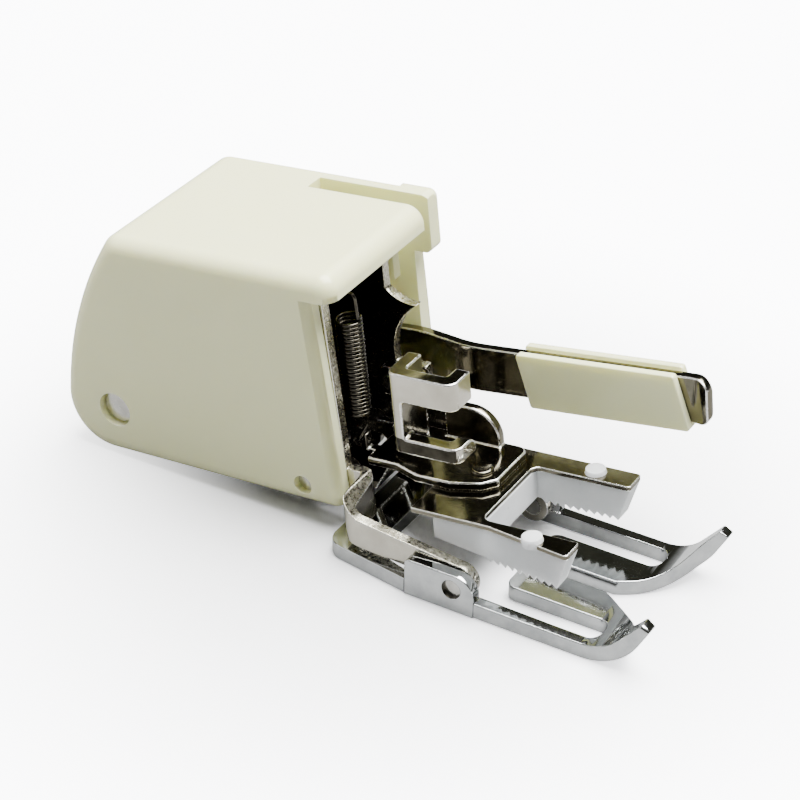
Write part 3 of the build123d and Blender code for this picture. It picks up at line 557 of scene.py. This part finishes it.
def makeSlotShade():
    (x0, y0, z0), (x1, y1, z1) = slotShade["low"], slotShade["high"]
    cut = slotShade["noseCut"]
    outline = ((x0, z0), (x1 - cut, z0), (x1, z0 + cut), (x1, z1 - cut), (x1 - cut, z1), (x0, z1))
    count = len(outline)
    places = [housingPoint(x, y, z) for y in (y0, y1) for x, z in outline]
    sides = [(i, (i + 1) % count, (i + 1) % count + count, i + count) for i in range(count)]
    ends = [tuple(range(count)), tuple(reversed(range(count, 2 * count)))]
    mesh = bpy.data.meshes.new("slotShadePlate")
    mesh.from_pydata(places, [], ends + sides)
    work = bmesh.new()
    work.from_mesh(mesh)
    bmesh.ops.recalc_face_normals(work, faces=work.faces)
    work.to_mesh(mesh)
    work.free()
    mesh.materials.append(materials["paintedShadeSteel"])
    piece = newPiece("slotShadePlate", mesh)
    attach(piece, bodyOf["attachment_head"])


makeSlotShade()
print("slot backed")


# Springs: Geometry Nodes wind the coils and run wire along the hooks
wireSteps = {
    "round": 10,  # sides of the wire
    "turn": 20,  # points in a turn of the coil
    "bend": 6,  # points in a bend of a hook
}


def wireTree(name, sizes):
    tree = bpy.data.node_groups.new(name, "GeometryNodeTree")
    tree.interface.new_socket(name="Geometry", in_out="INPUT", socket_type="NodeSocketGeometry")
    for label, kind in sizes.items():
        tree.interface.new_socket(name=label, in_out="INPUT", socket_type="NodeSocket" + kind)
    tree.interface.new_socket(name="Geometry", in_out="OUTPUT", socket_type="NodeSocketGeometry")
    return tree, tree.nodes.new("NodeGroupInput"), tree.nodes.new("NodeGroupOutput")


def skinWire(tree, entry, leave, curve):
    profile = tree.nodes.new("GeometryNodeCurvePrimitiveCircle")
    profile.inputs["Resolution"].default_value = wireSteps["round"]
    skin = tree.nodes.new("GeometryNodeCurveToMesh")
    skin.inputs["Fill Caps"].default_value = True
    smooth = tree.nodes.new("GeometryNodeSetShadeSmooth")
    realize = tree.nodes.new("GeometryNodeRealizeInstances")
    paint = tree.nodes.new("GeometryNodeSetMaterial")
    link = tree.links.new
    link(entry.outputs["Wire Radius"], profile.inputs["Radius"])
    link(curve, skin.inputs["Curve"])
    link(profile.outputs["Curve"], skin.inputs["Profile Curve"])
    link(skin.outputs["Mesh"], smooth.inputs["Geometry"])
    link(smooth.outputs["Geometry"], realize.inputs["Geometry"])
    link(realize.outputs["Geometry"], paint.inputs["Geometry"])
    link(entry.outputs["Finish"], paint.inputs["Material"])
    link(paint.outputs["Geometry"], leave.inputs["Geometry"])


def makeCoilTree():
    sizes = {
        "Turns": "Float",
        "Coil Radius": "Float",
        "Length": "Float",
        "Wire Radius": "Float",
        "Finish": "Material",
    }
    tree, entry, leave = wireTree("coilWinding", sizes)
    spiral = tree.nodes.new("GeometryNodeCurveSpiral")
    spiral.inputs["Resolution"].default_value = wireSteps["turn"]
    tree.links.new(entry.outputs["Turns"], spiral.inputs["Rotations"])
    tree.links.new(entry.outputs["Coil Radius"], spiral.inputs["Start Radius"])
    tree.links.new(entry.outputs["Coil Radius"], spiral.inputs["End Radius"])
    tree.links.new(entry.outputs["Length"], spiral.inputs["Height"])
    skinWire(tree, entry, leave, spiral.outputs["Curve"])
    return tree


def makeHookTree():
    sizes = {"Bend Radius": "Float", "Wire Radius": "Float", "Finish": "Material"}
    tree, entry, leave = wireTree("hookWire", sizes)
    path = tree.nodes.new("GeometryNodeMeshToCurve")
    bend = tree.nodes.new("GeometryNodeFilletCurve")
    bend.mode = "POLY"
    bend.inputs["Count"].default_value = wireSteps["bend"]
    bend.inputs["Limit Radius"].default_value = True
    tree.links.new(entry.outputs["Geometry"], path.inputs["Mesh"])
    tree.links.new(path.outputs["Curve"], bend.inputs["Curve"])
    tree.links.new(entry.outputs["Bend Radius"], bend.inputs["Radius"])
    skinWire(tree, entry, leave, bend.outputs["Curve"])
    return tree


coilTree = makeCoilTree()
hookTree = makeHookTree()


def runTree(tree, mesh, values):
    piece = newPiece("wire", mesh)
    modifier = piece.modifiers.new("wire", "NODES")
    modifier.node_group = tree
    for socket in tree.interface.items_tree:
        if socket.name in values:
            modifier[socket.identifier] = values[socket.name]
    result = plainMesh(piece)
    bpy.data.objects.remove(piece)
    return result


def coilMesh(look):
    mesh = runTree(coilTree, bpy.data.meshes.new("coil"), {
        "Turns": look["turns"],
        "Coil Radius": look["radius"] / 1000,
        "Length": look["length"] / 1000,
        "Wire Radius": look["wire"] / 2000,
        "Finish": materials["springSteel"],
    })
    axis = look["axis"]
    side = upward if axis == forward else forward
    turn = Matrix((side, axis.cross(side), axis)).transposed().to_4x4()
    mesh.transform(Matrix.Translation(housingPoint(*look["start"])) @ turn)
    return mesh


def hookMesh(points, look):
    mesh = bpy.data.meshes.new("hook")
    places = [housingPoint(*point) for point in points]
    mesh.from_pydata(places, [(i, i + 1) for i in range(len(places) - 1)], [])
    return runTree(hookTree, mesh, {
        "Bend Radius": look["hookBend"] / 1000,
        "Wire Radius": look["wire"] / 2000,
        "Finish": materials["springSteel"],
    })


def joined(*meshes):
    work = bmesh.new()
    for mesh in meshes:
        work.from_mesh(mesh)
    whole = bpy.data.meshes.new("joined")
    work.to_mesh(whole)
    work.free()
    whole.materials.append(materials["springSteel"])
    whole.shade_smooth()
    return whole


# Springs in mm: wire is its thickness, and each coil runs from its start along its axis
liftSpring = {
    "turns": 25.0,
    "radius": 1.34,
    "length": 11.5,
    "wire": 0.4,
    "start": (-17.15, 1.0, 11.8),
    "axis": upward,
    "hookBend": 0.7,
    "barHook": ((-15.93, 1.0, 23.28), (-16.1, 1.0, 26.3), (-22.4, 1.0, 26.3)),
    "lugHook": (
        (-15.93, 1.0, 11.82),
        (-15.75, 0.5, 10.6),
        (-16.5, -0.02, 9.2),
        (-17.15, -0.02, 8.35),
        (-17.15, 2.2, 8.35),
    ),
}
leverSpring = {
    "turns": 8.0,
    "radius": 2.2,
    "length": 3.5,
    "wire": 0.4,
    "start": (-46.4, 3.2, 8.6),
    "axis": across,
}
feedSpring = {
    "turns": 7.0,
    "radius": 1.25,
    "length": 5.45,
    "wire": 0.4,
    "start": (-30.0, 3.9, 6.2),
    "axis": forward,
}


def makeSprings():
    look = liftSpring
    liftCoil = newPiece("liftCoil", joined(coilMesh(look), hookMesh(look["barHook"], look)))
    standFor("lift_spring")
    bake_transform(liftCoil)
    liftHook = newPiece("liftHook", joined(hookMesh(look["lugHook"], look)))
    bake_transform(liftHook)
    leverCoil = newPiece("leverCoil", joined(coilMesh(leverSpring)))
    standFor("lever_spring")
    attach(leverCoil, bodyOf["lever_spring"])
    feedCoil = newPiece("feedCoil", joined(coilMesh(feedSpring)))
    standFor("feed_spring")
    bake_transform(feedCoil)


makeSprings()
print("springs wound")

# Stage, light and camera
stage = {
    "floorHalf": 3.0,
    "floorColour": (0.9, 0.905, 0.915),
    "floorRoughness": 0.6,
    "mottleScale": 300,
    "mottleDetail": 4,
    "mottleBand": (0.3, 0.7),
    "mottleTone": 0.985,
    "bounceColour": (0.25, 0.25, 0.25),
    "bounceDrop": 0.0004,
    "glowFrom": 0.012,
    "glowTo": 0.075,
    "glowStrength": 7.0,
    "glowColour": (0.97, 0.975, 1, 1),
    "worldStrength": 0.6,
    "sky": (  # how high, and the tone there
        (0.0, (0.9, 0.9, 0.9)),
        (0.12, (0.5, 0.5, 0.48)),
        (0.3, (0.06, 0.06, 0.042)),
        (0.62, (0.07, 0.07, 0.05)),
        (0.85, (1.2, 1.2, 1.2)),
    ),
    "keySize": 0.9,
    "keyPower": 64.0,
    "keyPlace": (0.1, 0.25, 0.95),
    "fillSize": 0.6,
    "fillPower": 2.0,
    "fillPlace": (-0.75, -0.55, 0.5),
    "target": (0, 0.003, 0.01),
}
camera = {
    "place": (0.11347, -0.19122, 0.16002),
    "right": (0.85933, 0.51130, 0.01072),
    "down": (0.28589, -0.46290, -0.83904),
    "forward": (-0.42404, 0.72408, -0.54396),
    "lens": 111.35,
    "sensor": 36.0,
    "nearest": 0.01,
}


def floorSheet(name, colour, level):
    half = stage["floorHalf"]
    mesh = bpy.data.meshes.new(name)
    corners = [(-half, -half, level), (half, -half, level), (half, half, level), (-half, half, level)]
    mesh.from_pydata(corners, [], [(0, 1, 2, 3)])
    material, tree, shader = newMaterial(name)
    low = tuple(stage["mottleTone"] * channel for channel in colour)
    mottle = noise(tree, objectPoint(tree), stage["mottleScale"], stage["mottleDetail"])
    tone = ramp(tree, mottle, *zip(stage["mottleBand"], (low, colour)))
    tree.links.new(tone, shader.inputs["Base Color"])
    shader.inputs["Roughness"].default_value = stage["floorRoughness"]
    mesh.materials.append(material)
    floor = newPiece(name, mesh)
    return floor, tree, shader


def makeFloor():
    # The lower sheet lights the foot and isn't seen, and the upper one is only seen
    bounce, _, _ = floorSheet("floorBounce", stage["bounceColour"], -stage["bounceDrop"])
    bounce.visible_camera = False
    floor, tree, shader = floorSheet("floor", stage["floorColour"], 0)
    floor.visible_diffuse = False
    floor.visible_glossy = False
    floor.visible_transmission = False
    floor.visible_shadow = False
    # The floor glows as painted light, rising from nothing near the foot to full strength farther out
    away = tree.nodes.new("ShaderNodeVectorMath")
    away.operation = "LENGTH"
    tree.links.new(objectPoint(tree), away.inputs[0])
    glow = tree.nodes.new("ShaderNodeMapRange")
    glow.interpolation_type = "SMOOTHSTEP"
    glow.inputs["From Min"].default_value = stage["glowFrom"]
    glow.inputs["From Max"].default_value = stage["glowTo"]
    glow.inputs["To Max"].default_value = stage["glowStrength"]
    tree.links.new(away.outputs["Value"], glow.inputs["Value"])
    shader.inputs["Emission Color"].default_value = stage["glowColour"]
    tree.links.new(glow.outputs["Result"], shader.inputs["Emission Strength"])


def makeWorld():
    world = bpy.data.worlds.new("studio")
    bpy.context.scene.world = world
    world.use_nodes = True
    tree = world.node_tree
    background = tree.nodes["Background"]
    background.inputs["Strength"].default_value = stage["worldStrength"]
    coords = tree.nodes.new("ShaderNodeTexCoord")
    split = tree.nodes.new("ShaderNodeSeparateXYZ")
    tree.links.new(coords.outputs["Generated"], split.inputs["Vector"])
    tree.links.new(ramp(tree, split.outputs["Z"], *stage["sky"]), background.inputs["Color"])


def areaLight(name, place, size, power):
    light = bpy.data.lights.new(name, "AREA")
    light.shape = "SQUARE"
    light.size = size
    light.energy = power
    lamp = newPiece(name, light)
    lamp.location = place
    lamp.rotation_euler = (Vector(stage["target"]) - Vector(place)).to_track_quat("-Z", "Y").to_euler()


def makeCamera():
    data = bpy.data.cameras.new("camera")
    data.lens = camera["lens"]
    data.sensor_width = camera["sensor"]
    data.clip_start = camera["nearest"]
    eye = newPiece("camera", data)
    right, up, back = Vector(camera["right"]), -Vector(camera["down"]), -Vector(camera["forward"])
    turn = Matrix((right, up, back)).transposed().to_4x4()
    eye.matrix_world = Matrix.Translation(camera["place"]) @ turn
    bpy.context.scene.camera = eye


makeFloor()
makeWorld()
areaLight("overhead", stage["keyPlace"], stage["keySize"], stage["keyPower"])
areaLight("leftFill", stage["fillPlace"], stage["fillSize"], stage["fillPower"])
makeCamera()
print("stage, light and camera set")
